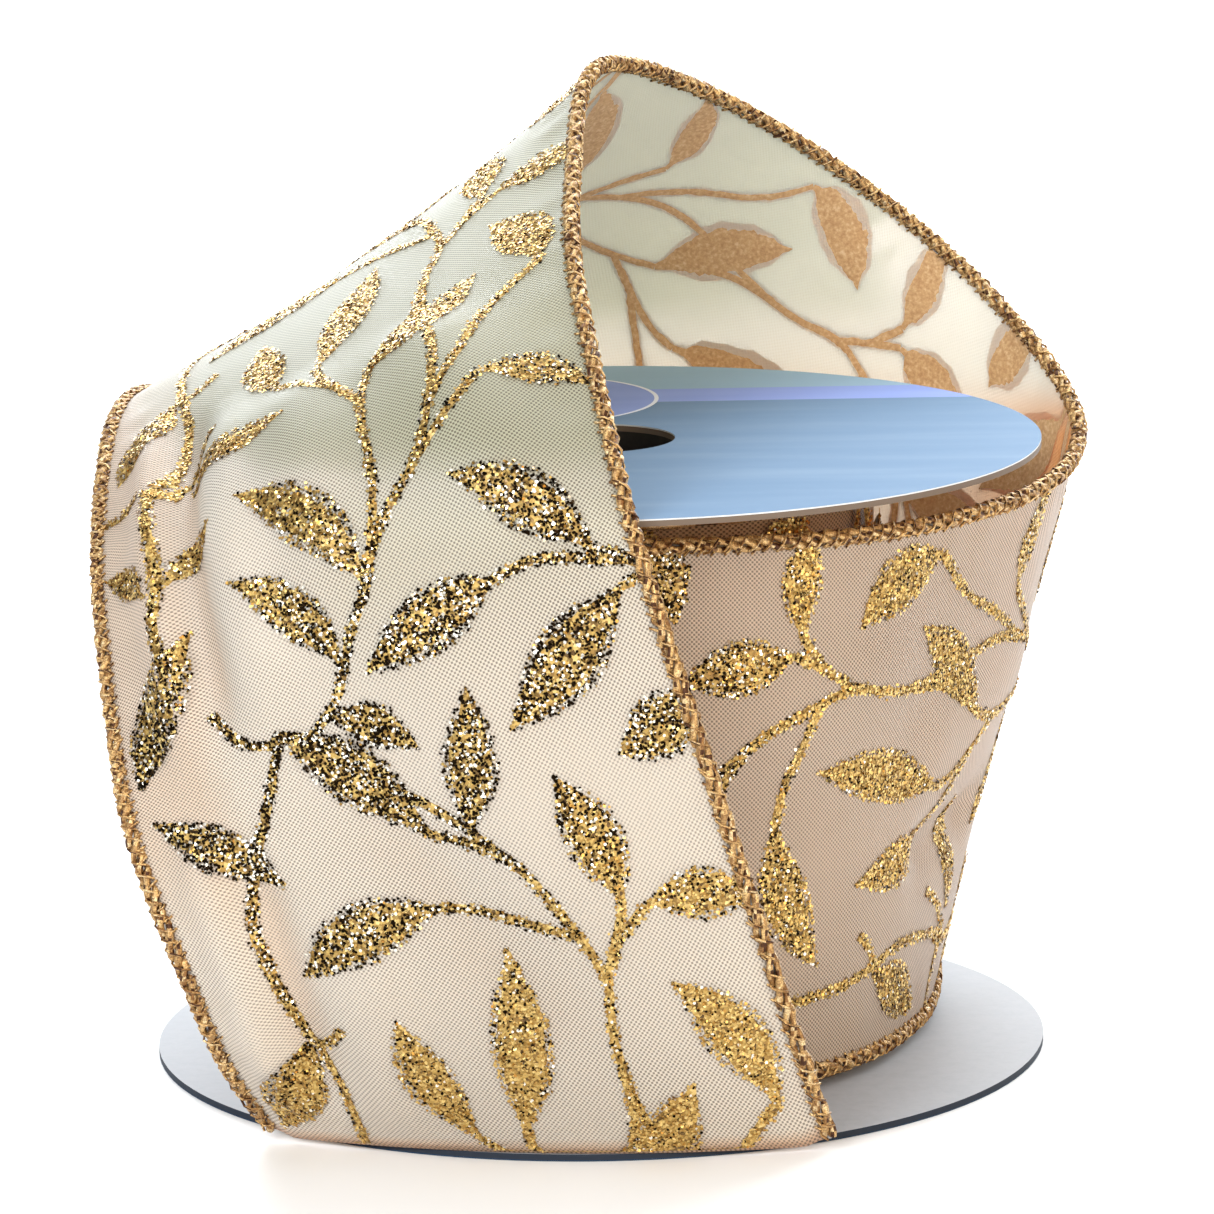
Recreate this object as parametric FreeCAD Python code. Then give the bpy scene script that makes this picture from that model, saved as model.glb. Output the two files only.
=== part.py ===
import FreeCAD, Part
import math
import os

# Ribbon spool: a wired-edge gift ribbon wound on a card spool, with its free length
# taken once round the spool, up over the top flange and down the front.
# Millimetres. Origin on the spool's axis at the underside of the bottom flange, +Z up.

os.makedirs("parts", exist_ok=True)
Vector = FreeCAD.Vector

# ---- driving dimensions -------------------------------------------------------------
FLANGE_R = 50.8          # 4 in card discs
SPOOL_H = 70.0           # overall height of the spool
BOARD_T = 0.65           # grey board of one flange
PRINT_T = 0.15           # printed paper pasted on the board's outer face
HOLE_R = 9.5             # spindle hole, 3/4 in
CORE_WALL = 2.5          # wound paper tube
GLUE_LEG = 1.0           # hot-melt fillet between tube and flange
TAPE_T = 0.15            # tape that holds the ribbon's inner end to the tube
TAPE_H = 25.0
TAPE_ANGLE = 70.0
ROLL_R = 32.4            # outside of the wound ribbon
ROLL_LIFT = 2.4          # the roll grips the tube midway between the flanges
RIBBON_W = 63.4          # 2 1/2 in ribbon over its two overlocked edges
CLOTH_T = 0.4            # satin with its glitter print
EDGE_R = 0.95            # half the thickness of an overlocked edge
WIRE_R = 0.3             # half the thickness of the iron wire inside it
EDGE_SIDES = 8           # flats on an overlocked edge
WIRE_SIDES = 6           # flats on a wire

FLANGE_T = BOARD_T + PRINT_T
CORE_R = HOLE_R + CORE_WALL
EDGE_H = 2.0 * EDGE_R

# ---- route of the free length -------------------------------------------------------
# Each row is one station along the ribbon: the centre of the upper wire, the centre of
# the lower wire, and how far the middle of the cloth bulges from the line between them.
ROUTE = [
    ((-14.0, -31.0, 64.0), (-14.0, -31.0, 2.5), (0.0, 0.0, 0.0)),
    ((5.0, -34.0, 64.0), (4.0, -34.0, 2.5), (0.0, 0.0, 0.0)),
    ((26.0, -26.0, 63.0), (24.5, -24.5, 2.5), (0.0, 0.0, 0.0)),
    ((43.0, -7.0, 62.0), (35.5, -6.0, 2.5), (0.0, 0.0, 0.0)),
    ((54.0, 12.0, 63.0), (39.0, 12.0, 3.5), (0.0, 0.0, 0.0)),
    ((57.0, 27.0, 67.0), (37.5, 28.0, 9.0), (0.0, 0.0, 0.0)),
    ((50.0, 41.0, 77.0), (25.0, 43.0, 20.0), (0.0, 0.0, 0.0)),
    ((37.0, 46.0, 89.0), (6.0, 53.0, 37.0), (0.0, 1.0, 0.0)),
    ((21.0, 39.0, 101.0), (-16.0, 55.0, 54.0), (0.0, 4.0, 1.0)),
    ((7.0, 25.0, 109.0), (-38.0, 43.0, 65.0), (0.0, 2.0, 0.0)),
    ((0.0, 11.0, 109.0), (-50.0, 16.0, 73.5), (1.0, 0.0, -1.0)),
    ((-1.5, -8.0, 101.0), (-53.5, -5.0, 73.5), (0.0, 0.0, 0.0)),
    ((-1.5, -25.0, 93.5), (-54.0, -21.0, 67.5), (-1.0, -2.0, 2.0)),
    ((1.0, -42.0, 82.0), (-53.5, -33.0, 58.5), (-2.0, -6.0, 4.0)),
    ((4.0, -53.0, 70.0), (-52.0, -41.0, 48.0), (-1.0, -5.0, 2.0)),
    ((10.0, -56.5, 50.0), (-49.5, -47.0, 35.0), (0.0, -3.0, 0.0)),
    ((16.0, -56.0, 30.0), (-44.0, -49.0, 20.0), (0.0, -3.5, 0.0)),
    ((20.5, -53.0, 14.5), (-40.5, -45.5, 10.0), (0.0, -5.0, 0.0)),
    ((24.5, -47.5, 1.4), (-36.0, -40.0, 1.4), (-0.5, -6.3, 0.4)),
]
STEPS_PER_SPAN = 4       # sections cut between two stations
CLOTH_ROWS = 7           # lines of points across the cloth


def save(shape, node):
    """Check that a node is made of closed, valid solids and write its STEP file."""
    if not shape.isValid() or not shape.Solids:
        raise RuntimeError(node + " is not a valid solid")
    shape.exportStep("parts/" + node + ".step")
    size = shape.BoundBox
    print("%-26s %9.1f mm3  z %6.2f to %6.2f" % (node, shape.Volume, size.ZMin, size.ZMax))


def ring(inner_r, outer_r, z_low, z_high):
    """A flat or tall washer about the spool's axis."""
    base = Vector(0, 0, z_low)
    outer = Part.makeCylinder(outer_r, z_high - z_low, base)
    inner = Part.makeCylinder(inner_r, z_high - z_low, base)
    return outer.cut(inner)


# ---- the card spool -----------------------------------------------------------------
def flange(outer_face_z, inwards):
    """Board and printed paper of one flange; inwards is +1 at the bottom, -1 at the top."""
    print_z = outer_face_z + inwards * PRINT_T
    board_z = outer_face_z + inwards * FLANGE_T
    paper = ring(HOLE_R, FLANGE_R, min(outer_face_z, print_z), max(outer_face_z, print_z))
    board = ring(HOLE_R, FLANGE_R, min(print_z, board_z), max(print_z, board_z))
    return board, paper


def glue_bead(face_z, inwards):
    """A ring of hot-melt in the corner between the tube and a flange's inner face."""
    corner = Vector(CORE_R, 0, face_z)
    out_on_flange = Vector(CORE_R + GLUE_LEG, 0, face_z)
    up_the_tube = Vector(CORE_R, 0, face_z + inwards * GLUE_LEG)
    profile = Part.Face(Part.makePolygon([corner, out_on_flange, up_the_tube, corner]))
    return profile.revolve(Vector(0, 0, 0), Vector(0, 0, 1), 360)


def start_tape():
    """The curved strip of tape lying on the tube under the first turn of ribbon."""
    z_low = (SPOOL_H - TAPE_H) / 2
    base = Vector(0, 0, z_low)
    up = Vector(0, 0, 1)
    outer = Part.makeCylinder(CORE_R + TAPE_T, TAPE_H, base, up, TAPE_ANGLE)
    inner = Part.makeCylinder(CORE_R, TAPE_H, base, up, 360)
    return outer.cut(inner)


def build_spool():
    bottom_board, bottom_paper = flange(0.0, 1)
    top_board, top_paper = flange(SPOOL_H, -1)
    save(bottom_board, "bottom_flange_board")
    save(bottom_paper, "bottom_flange_print")
    save(top_board, "top_flange_board")
    save(top_paper, "top_flange_print")
    save(ring(HOLE_R, CORE_R, FLANGE_T, SPOOL_H - FLANGE_T), "core_tube")
    save(glue_bead(FLANGE_T, 1), "bottom_glue_bead")
    save(glue_bead(SPOOL_H - FLANGE_T, -1), "top_glue_bead")
    save(start_tape(), "ribbon_start_tape")


def build_roll():
    """The wound ribbon: cloth between the two stacks of overlocked edges."""
    inner = CORE_R + TAPE_T
    low = FLANGE_T + ROLL_LIFT
    high = low + RIBBON_W
    save(ring(inner, ROLL_R, low, low + EDGE_H), "roll_lower_wired_edge")
    save(ring(inner, ROLL_R, low + EDGE_H, high - EDGE_H), "roll_cloth")
    save(ring(inner, ROLL_R, high - EDGE_H, high), "roll_upper_wired_edge")


# ---- the free length of ribbon ------------------------------------------------------
def spline(points, parameters):
    """The smooth curve through some points at the given parameters."""
    curve = Part.BSplineCurve()
    curve.interpolate(Points=points, Parameters=parameters)
    return curve


def route_curves():
    """Curves of the upper wire, the lower wire and the cloth's crown, on one parameter."""
    upper = [Vector(*row[0]) for row in ROUTE]
    lower = [Vector(*row[1]) for row in ROUTE]
    bulge = [Vector(*row[2]) for row in ROUTE]
    middle = [(a + b) * 0.5 for a, b in zip(upper, lower)]
    crown = [point + swell for point, swell in zip(middle, bulge)]
    stops = [0.0]
    for before, after in zip(middle, middle[1:]):
        stops.append(stops[-1] + (after - before).Length)
    samples = []
    for start, end in zip(stops, stops[1:]):
        for step in range(STEPS_PER_SPAN):
            samples.append(start + (end - start) * step / STEPS_PER_SPAN)
    samples.append(stops[-1])
    return spline(upper, stops), spline(lower, stops), spline(crown, stops), samples


def unit(vector):
    return vector * (1.0 / vector.Length)


def edge_frame(curve, at, towards_cloth):
    """Centre, direction into the cloth and outward normal of a wired edge's section."""
    centre = curve.value(at)
    along = unit(curve.tangent(at)[0])
    inward = unit(towards_cloth - along * towards_cloth.dot(along))
    return centre, inward, along.cross(inward)


def sections():
    """At every sample: both edge frames and the points and normals across the cloth."""
    upper, lower, crown, samples = route_curves()
    result = []
    for at in samples:
        top = upper.value(at)
        foot = lower.value(at)
        swell = (crown.value(at) - (top + foot) * 0.5) * 4.0
        run = unit(upper.tangent(at)[0] + lower.tangent(at)[0])
        low_edge = edge_frame(lower, at, top - foot + swell)
        high_edge = edge_frame(upper, at, foot - top + swell)
        across = []
        for row in range(1, CLOTH_ROWS - 1):
            v = row / (CLOTH_ROWS - 1)
            point = foot * (1 - v) + top * v + swell * (v * (1 - v))
            rise = top - foot + swell * (1 - 2 * v)
            across.append((point, unit(run.cross(rise))))
        high_centre, high_inward, high_normal = high_edge
        result.append((low_edge, (high_centre, high_inward, high_normal * -1), across))
    return result


def flat_between(start, end):
    """The ruled face between two splines that share their knots."""
    surface = Part.BSplineSurface()
    surface.buildFromPolesMultsKnots(
        [start.getPoles(), end.getPoles()], [2, 2], start.getMultiplicities(),
        [0.0, 1.0], start.getKnots(), False, False, 1, start.Degree)
    return surface.toShape()


def ruled_bar(lines, hollow_lines=None):
    """A bar, or a tube if it has hollow_lines, whose flats run between section corners."""
    def walls(corner_lines):
        stops = [float(number) for number in range(len(corner_lines[0]))]
        curves = [spline(line, stops) for line in corner_lines]
        following = curves[1:] + curves[:1]
        return [flat_between(a, b) for a, b in zip(curves, following)]

    def outline(corner_lines, end):
        corners = [line[end] for line in corner_lines]
        return Part.makePolygon(corners + corners[:1])

    faces = walls(lines)
    for end in (0, -1):
        rims = [outline(lines, end)]
        if hollow_lines:
            rims.append(outline(hollow_lines, end))
        faces.append(Part.makeFace(rims, "Part::FaceMakerBullseye"))
    if hollow_lines:
        faces += walls(hollow_lines)
    return closed_solid(faces)


def closed_solid(faces):
    """Sew faces that meet edge to edge into one solid with its normals outward."""
    shell = Part.makeShell(faces)
    shell.sewShape()
    solid = Part.makeSolid(shell.Shells[0] if shell.ShapeType != "Shell" else shell)
    if solid.Volume < 0:
        solid.reverse()
    return solid


def polygon_lines(frames, apothem, sides):
    """Corner lines of a regular section with one flat facing the cloth."""
    corner_r = apothem / math.cos(math.pi / sides)
    lines = []
    for corner in range(sides):
        angle = 2 * math.pi * (corner + 0.5) / sides
        line = []
        for centre, inward, normal in frames:
            offset = inward * (corner_r * math.cos(angle)) + normal * (corner_r * math.sin(angle))
            line.append(centre + offset)
        lines.append(line)
    return lines


def cloth_surface(cuts, side):
    """One face of the cloth, half its thickness to the given side of its middle."""
    shift = side * CLOTH_T / 2
    grid = []
    for low_edge, high_edge, across in cuts:
        low_centre, low_inward, low_normal = low_edge
        high_centre, high_inward, high_normal = high_edge
        line = [low_centre + low_inward * EDGE_R + low_normal * shift]
        line += [point + normal * shift for point, normal in across]
        line.append(high_centre + high_inward * EDGE_R + high_normal * shift)
        grid.append(line)
    surface = Part.BSplineSurface()
    surface.interpolate(grid)
    return surface


def loose_cloth(cuts):
    """The cloth between the two overlocked edges, as one thin curved solid."""
    outside = cloth_surface(cuts, 1)
    inside = cloth_surface(cuts, -1)
    faces = [outside.toShape(), inside.toShape()]
    u_low, u_high, v_low, v_high = outside.bounds()
    for at in (u_low, u_high):
        faces.append(Part.makeRuledSurface(outside.uIso(at).toShape(), inside.uIso(at).toShape()))
    for at in (v_low, v_high):
        faces.append(Part.makeRuledSurface(outside.vIso(at).toShape(), inside.vIso(at).toShape()))
    return closed_solid(faces)


def build_loose_ribbon():
    cuts = sections()
    save(loose_cloth(cuts), "loose_cloth")
    for name, index in (("lower", 0), ("upper", 1)):
        frames = [cut[index] for cut in cuts]
        wire_lines = polygon_lines(frames, WIRE_R, WIRE_SIDES)
        thread_lines = polygon_lines(frames, EDGE_R, EDGE_SIDES)
        save(ruled_bar(wire_lines), "loose_" + name + "_wire")
        save(ruled_bar(thread_lines, wire_lines), "loose_" + name + "_overlock")


build_spool()
build_roll()
build_loose_ribbon()
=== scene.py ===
"""A gift ribbon spool with its free end crossing over the top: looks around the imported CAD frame."""

import math

import bpy
import numpy as np
from mathutils import Matrix, Vector


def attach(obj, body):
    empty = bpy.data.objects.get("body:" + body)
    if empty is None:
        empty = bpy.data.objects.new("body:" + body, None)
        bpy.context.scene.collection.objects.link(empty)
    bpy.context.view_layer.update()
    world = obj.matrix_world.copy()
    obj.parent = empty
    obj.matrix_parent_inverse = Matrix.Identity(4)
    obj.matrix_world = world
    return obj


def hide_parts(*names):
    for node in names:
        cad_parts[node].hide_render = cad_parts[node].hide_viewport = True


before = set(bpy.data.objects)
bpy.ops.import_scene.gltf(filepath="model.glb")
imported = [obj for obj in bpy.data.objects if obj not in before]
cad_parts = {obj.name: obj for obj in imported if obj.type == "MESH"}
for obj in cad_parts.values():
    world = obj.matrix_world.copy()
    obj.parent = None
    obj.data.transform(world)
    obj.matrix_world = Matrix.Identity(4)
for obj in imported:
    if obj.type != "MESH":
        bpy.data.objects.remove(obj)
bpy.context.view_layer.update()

MM = 0.001
rng = np.random.default_rng(7)

# ------------------------ the camera, 0.7 m in front of the spool
CAMERA_PLACE = Vector((-0.00016, -0.7127, 0.1938))
CAMERA_PITCH = 0.1984
CAMERA_YAW = 0.0023
CAMERA_ROLL = -0.0166
LENS_MM = 189.7
SENSOR_MM = 36.0


def add_camera():
    data = bpy.data.cameras.new("camera")
    data.sensor_width = SENSOR_MM
    data.lens = LENS_MM
    data.clip_start = 0.01
    data.clip_end = 50.0
    camera = bpy.data.objects.new("camera", data)
    bpy.context.scene.collection.objects.link(camera)
    level = Matrix.Rotation(-CAMERA_YAW, 4, "Z") @ Matrix.Rotation(math.pi / 2 - CAMERA_PITCH, 4, "X")
    camera.matrix_world = Matrix.Translation(CAMERA_PLACE) @ level @ Matrix.Rotation(CAMERA_ROLL, 4, "Z")
    bpy.context.scene.camera = camera


add_camera()

# ------------------------ the ribbon's measures, as in the CAD
EDGE_TO_EDGE = 61.5 * MM      # between the two wires
WIDTH = EDGE_TO_EDGE / MM     # the same in mm, as flat places on the ribbon are given
CLOTH_THICK = 0.24 * MM
FLANGE_TOP = 70.0 * MM
FLANGE_R = 50.8 * MM
ROLL_R = 32.4 * MM
ROLL_CORE_R = 12.4 * MM
ROLL_LOW = 4.15 * MM          # the wound ribbon's lower wire above the floor
REPEAT = 98.4                 # of the printed pattern, in mm

# Stations along the free length, from the roll to its hanging end, in mm:
# the upper wire, the lower wire, and how far the middle stands off the line between them.
ROUTE = (
    ((-14, -31, 64), (-14, -31, 2.5), (0, 0, 0)),
    ((5, -34, 64), (4, -34, 2.5), (0, 0, 0)),
    ((26, -26, 63), (24.5, -24.5, 2.5), (0, 0, 0)),
    ((43, -7, 62), (35.5, -6, 2.5), (0, 0, 0)),
    ((54, 12, 63), (39, 12, 3.5), (0, 0, 0)),
    ((57, 27, 67), (37.5, 28, 9), (0, 0, 0)),
    ((50, 41, 77), (25, 43, 20), (0, 0, 0)),
    ((37, 46, 89), (6, 53, 37), (0, 1, 0)),
    ((21, 39, 101), (-16, 55, 54), (0, 4, 1)),
    ((7, 25, 109), (-38, 43, 65), (0, 2, 0)),
    ((0, 11, 109), (-50, 16, 73.5), (1, 0, -1)),
    ((-1.5, -8, 101), (-53.5, -5, 73.5), (0, 0, 0)),
    ((-1.5, -25, 93.5), (-54, -21, 67.5), (-1, -2, 2)),
    ((1, -42, 82), (-53.5, -33, 58.5), (-2, -6, 4)),
    ((4, -53, 70), (-52, -41, 48), (-1, -5, 2)),
    ((10, -56.5, 50), (-49.5, -47, 35), (0, -3, 0)),
    ((16, -56, 30), (-44, -49, 20), (0, -3.5, 0)),
    ((20.5, -53, 14.5), (-40.5, -45.5, 10), (0, -5, 0)),
    ((24.5, -47.5, 1.4), (-36, -40, 1.4), (-0.5, -6.3, 0.4)),
)

# The cut end sinks to the flange between its two wired corners.
END_DROP = 0.9 * MM
END_DROP_LENGTH = 14.0

# Soft folds in the cloth, in mm on the flat ribbon: where each starts and ends along it,
# its line across (at the start and the end), its half width, and how far it stands out.
FOLDS = (
    (46, 116, 8.0, 7.5, 2.3, 1.7),
    (48, 112, 12.8, 12.0, 2.5, -1.9),
    (50, 108, 18.5, 18, 3.4, 1.2),
    (60, 104, 30, 26, 5.5, 1.3),
    (3, 47, 4.6, 6.5, 2.4, 2.0),
    (4, 44, 9.5, 11.5, 3.0, -1.7),
    (0, 30, 16, 20, 4.0, 0.9),
    (62, 104, 53, 42, 7.0, 1.8),
    (20, 66, 47, 33, 8.0, 1.5),
    (8, 46, 38, 26, 6.0, -0.8),
    (276, 304, 23, 22, 3.4, -2.2),
    (268, 306, 40, 34, 6.0, 1.1),
    (206, 262, 44, 52, 7.0, 1.3),
    (150, 200, 18, 30, 8.0, 1.4),
    (300, 344, 46, 38, 6.0, 0.8),
)


# Small puckers beside the stitched edges, in mm.
PUCKER_RADIAN = 1.15          # of ribbon per radian of their wave, so that one comes every 7.2 mm
PUCKER_HEIGHT = 0.13
PUCKER_LINE = 3.2             # from the wire to the middle of the puckers
PUCKER_HALF = 2.2
STIFF_EDGE = 3.0              # beside each wire, where folds die out


# ------------------------ curves and grids
def spline(knots, values, at):
    """A natural cubic spline through values at knots, read at each of at."""
    count = len(knots)
    gap = np.diff(knots)
    slope = np.diff(values, axis=0) / gap[:, None]
    matrix = np.eye(count)
    right = np.zeros_like(values)
    for i in range(1, count - 1):
        matrix[i, i - 1:i + 2] = gap[i - 1], 2 * (gap[i - 1] + gap[i]), gap[i]
        right[i] = 6 * (slope[i] - slope[i - 1])
    second = np.linalg.solve(matrix, right)
    i = np.clip(np.searchsorted(knots, at) - 1, 0, count - 2)
    a = ((knots[i + 1] - at) / gap[i])[:, None]
    b = 1 - a
    bend = ((a ** 3 - a) * second[i] + (b ** 3 - b) * second[i + 1]) * (gap[i] ** 2)[:, None] / 6
    return a * values[i] + b * values[i + 1] + bend


def smooth_step(value):
    """0 up to 0, 1 from 1, and a soft rise between them."""
    value = np.clip(value, 0, 1)
    return value * value * (3 - 2 * value)


def unit(vectors):
    return vectors / np.maximum(np.linalg.norm(vectors, axis=-1, keepdims=True), 1e-12)


class Sheet:
    """A strip of cloth as a grid of points, read by its flat place: x along it and y across it, in mm."""

    def __init__(self, points, length, width, outward, fold=0.0):
        self.points = points
        self.fold = np.broadcast_to(fold, points.shape[:2])
        self.length = length
        self.width = width
        normals = np.cross(np.gradient(points, axis=0), np.gradient(points, axis=1))
        self.normals = unit(normals) * outward

    def at(self, x, y, height):
        """Points that stand height, in metres, off the cloth's middle at x, y in mm, and their normals."""
        rows, columns = self.points.shape[:2]
        i = np.clip(np.asarray(x, float) / self.length * (rows - 1), 0, rows - 1.001)
        j = np.clip(np.asarray(y, float) / self.width * (columns - 1), 0, columns - 1.001)
        i0 = i.astype(int)
        j0 = j.astype(int)
        fi = (i - i0)[..., None]
        fj = (j - j0)[..., None]

        def between(grid):
            low = grid[i0, j0] * (1 - fi) + grid[i0 + 1, j0] * fi
            high = grid[i0, j0 + 1] * (1 - fi) + grid[i0 + 1, j0 + 1] * fi
            return low * (1 - fj) + high * fj

        normal = unit(between(self.normals))
        return between(self.points) + normal * np.asarray(height)[..., None], normal


def travelled(line):
    """How far along a line of points each of them lies."""
    return np.concatenate([[0], np.cumsum(np.linalg.norm(np.diff(line, axis=0), axis=1))])


def folds_at(x, y, width):
    """How far the folds and puckers stand out at x, y, all in mm."""
    fold = np.zeros(np.broadcast(x, y).shape)
    for start, end, line_start, line_end, half, height in FOLDS:
        share = (x - start) / (end - start)
        window = smooth_step(share * 4) * smooth_step((1 - share) * 4)
        centre = line_start + (line_end - line_start) * share
        fold += height * window * np.exp(-((y - centre) / half) ** 2)
    to_wire = np.minimum(y, width - y)
    wave = np.sin(x / PUCKER_RADIAN + 1.3 * np.sin(x * 0.23))
    fold += PUCKER_HEIGHT * (wave * np.exp(-((to_wire - PUCKER_LINE) / PUCKER_HALF) ** 2))
    return fold, smooth_step(to_wire / STIFF_EDGE)


def free_length():
    """The free length's cloth, from its hanging end (x = 0) to the roll."""
    route = np.array(ROUTE) * MM
    upper, lower, bulge = route[:, 0], route[:, 1], route[:, 2]
    middle = (upper + lower) / 2
    crown = middle + bulge
    knots = travelled(middle)
    fine = np.linspace(knots[-1], 0, 1500)
    distance = travelled(spline(knots, crown, fine))
    length = distance[-1] / MM
    rows = int(round(length))
    columns = 50
    at = np.interp(np.linspace(0, distance[-1], rows + 1), distance, fine)
    high, low, mid = spline(knots, upper, at), spline(knots, lower, at), spline(knots, crown, at)
    stand = mid - (high + low) / 2
    v = np.linspace(0, 1, columns + 1)[None, :, None]
    points = low[:, None] * (1 - v) + high[:, None] * v + 4 * stand[:, None] * v * (1 - v)
    sheet = Sheet(points, length, WIDTH, 1)
    on_the_roll = (-5, columns // 2)
    outward = 1 if sheet.normals[on_the_roll] @ points[on_the_roll] > 0 else -1
    sheet.normals *= outward
    x = np.linspace(0, length, rows + 1)[:, None]
    y = np.linspace(0, WIDTH, columns + 1)[None, :]
    fold, loose = folds_at(x, y, WIDTH)
    points[..., 2] -= END_DROP * smooth_step(1 - x / END_DROP_LENGTH) * loose
    points = points + sheet.normals * (fold * loose * MM)[..., None]
    return Sheet(points, length, WIDTH, outward, fold * loose)


def standing_sheet(ring, length, columns):
    """A cloth standing on its edge along ring, as high above the floor as the wound ribbon."""
    z = np.linspace(ROLL_LOW, ROLL_LOW + EDGE_TO_EDGE, columns)
    points = np.concatenate(
        [np.repeat(ring[:, None], columns, 1), np.repeat(z[None, :, None], len(ring), 0)], axis=2)
    sheet = Sheet(points, length / MM, WIDTH, 1)
    if sheet.normals[0, 0] @ points[0, 0] < 0:
        sheet.normals *= -1
    return sheet


def outermost_turn():
    """The roll's outermost turn, as a cloth for the print to lie on."""
    angle = np.linspace(0, 2 * math.pi, 181)
    ring = np.stack([np.cos(angle) * ROLL_R, np.sin(angle) * ROLL_R], axis=-1)
    return standing_sheet(ring, 2 * math.pi * ROLL_R, 26)


# ------------------------ mesh making
def new_piece(name, points, faces, body, materials, smooth=True):
    """A named mesh object that rides on a body and takes the given materials."""
    mesh = bpy.data.meshes.new(name)
    mesh.from_pydata([tuple(p) for p in points], [], [tuple(f) for f in faces])
    mesh.validate()
    mesh.update()
    for material in materials:
        mesh.materials.append(material)
    mesh.polygons.foreach_set("use_smooth", [smooth] * len(mesh.polygons))
    piece = bpy.data.objects.new(name, mesh)
    bpy.context.scene.collection.objects.link(piece)
    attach(piece, body)
    return piece


def grid_faces(rows, columns, first=0, flip=False):
    """Four-sided faces over a grid of points whose first point has the number first."""
    i, j = np.meshgrid(np.arange(rows - 1), np.arange(columns - 1), indexing="ij")
    a = first + i * columns + j
    quads = np.stack([a, a + 1, a + columns + 1, a + columns], axis=-1).reshape(-1, 4)
    return quads[:, ::-1] if flip else quads


def give_uv(piece, coordinates):
    """Each point's flat place on the cloth, in metres, as the piece's UV map."""
    layer = piece.data.uv_layers.new(name="flat")
    corner = np.zeros(len(piece.data.loops), int)
    piece.data.loops.foreach_get("vertex_index", corner)
    layer.data.foreach_set("uv", np.asarray(coordinates, np.float32)[corner].ravel())


def give_value(piece, name, values):
    """One number for each point, for the materials to read."""
    layer = piece.data.attributes.new(name, "FLOAT", "POINT")
    layer.data.foreach_set("value", np.asarray(values, np.float32).ravel())


def give_colour(piece, name, colours):
    """One colour for each face, for the materials to read."""
    layer = piece.data.attributes.new(name, "FLOAT_COLOR", "CORNER")
    counts = np.zeros(len(piece.data.polygons), int)
    piece.data.polygons.foreach_get("loop_total", counts)
    rgba = np.concatenate([colours, np.ones((len(colours), 1))], axis=1)
    layer.data.foreach_set("color", np.repeat(rgba, counts, axis=0).astype(np.float32).ravel())


def cloth_piece(name, sheet, body, materials):
    """A closed shell: outer face, inner face, and a rim all round."""
    rows, columns = sheet.points.shape[:2]
    offset = sheet.normals * CLOTH_THICK / 2
    outer = (sheet.points + offset).reshape(-1, 3)
    inner = (sheet.points - offset).reshape(-1, 3)
    count = rows * columns
    du, dv = np.gradient(sheet.points, axis=0)[5, 5], np.gradient(sheet.points, axis=1)[5, 5]
    flip = np.cross(du, dv) @ sheet.normals[5, 5] > 0
    faces = [grid_faces(rows, columns, 0, flip), grid_faces(rows, columns, count, not flip)]
    ring = np.concatenate([
        np.arange(columns),
        np.arange(1, rows) * columns + columns - 1,
        (rows - 1) * columns + np.arange(columns - 2, -1, -1),
        np.arange(rows - 2, 0, -1) * columns,
    ])
    after = np.roll(ring, -1)
    rim = np.stack([ring, after, after + count, ring + count], axis=-1)
    faces.append(rim[:, ::-1] if not flip else rim)
    points = np.concatenate([outer, inner])
    piece = new_piece(name, points, np.concatenate(faces), body, materials)
    side = np.zeros(len(piece.data.polygons), int)
    side[(rows - 1) * (columns - 1):] = 1
    piece.data.polygons.foreach_set("material_index", side)
    x = np.repeat(np.linspace(0, sheet.length, rows), columns) * MM
    y = np.tile(np.linspace(0, sheet.width, columns), rows) * MM
    flat = np.stack([x, y], axis=-1)
    give_uv(piece, np.concatenate([flat, flat]))
    return piece


def tube(centres, across, radius, sides):
    """A closed tube along centres: its points and faces. across is one direction square to it at each."""
    tangent = unit(np.gradient(centres, axis=0))
    across = unit(across - tangent * np.sum(across * tangent, axis=1, keepdims=True))
    third = np.cross(tangent, across)
    angle = np.linspace(0, 2 * math.pi, sides, endpoint=False)
    radius = np.broadcast_to(radius, (len(centres),))[:, None, None]
    ring = np.cos(angle)[None, :, None] * across[:, None] + np.sin(angle)[None, :, None] * third[:, None]
    points = (centres[:, None] + ring * radius).reshape(-1, 3)
    i, j = np.meshgrid(np.arange(len(centres) - 1), np.arange(sides), indexing="ij")
    k = (j + 1) % sides
    here, there = i * sides, (i + 1) * sides
    walls = np.stack([here + j, here + k, there + k, there + j], axis=-1).reshape(-1, 4)
    last = len(points) - sides
    caps = [list(range(sides))[::-1], list(range(last, len(points)))]
    return points, walls.tolist() + caps


def joined(parts):
    """Several (points, faces) as one."""
    points, faces, first = [], [], 0
    for part_points, part_faces in parts:
        points.append(part_points)
        faces.extend([[v + first for v in face] for face in part_faces])
        first += len(part_points)
    return np.concatenate(points), faces


# ------------------------ materials
def node(tree, kind, inputs=None, **settings):
    """A shader node. inputs are sockets to link or values to set, settings are the node's own."""
    made = tree.nodes.new(kind)
    for key, value in settings.items():
        setattr(made, key, value)
    for key, value in (inputs or {}).items():
        if isinstance(value, bpy.types.NodeSocket):
            tree.links.new(value, made.inputs[key])
        else:
            made.inputs[key].default_value = value
    return made


def new_material(name, **sockets):
    """A material, its node tree and its shader, with the shader's uniform values set."""
    material = bpy.data.materials.new(name)
    material.use_nodes = True
    shader = material.node_tree.nodes["Principled BSDF"]
    for key, value in sockets.items():
        shader.inputs[key.replace("_", " ")].default_value = value
    return material, material.node_tree, shader


def feed(tree, socket, target):
    tree.links.new(socket, target)


def place_of(tree):
    return node(tree, "ShaderNodeTexCoord").outputs["Object"]


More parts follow.
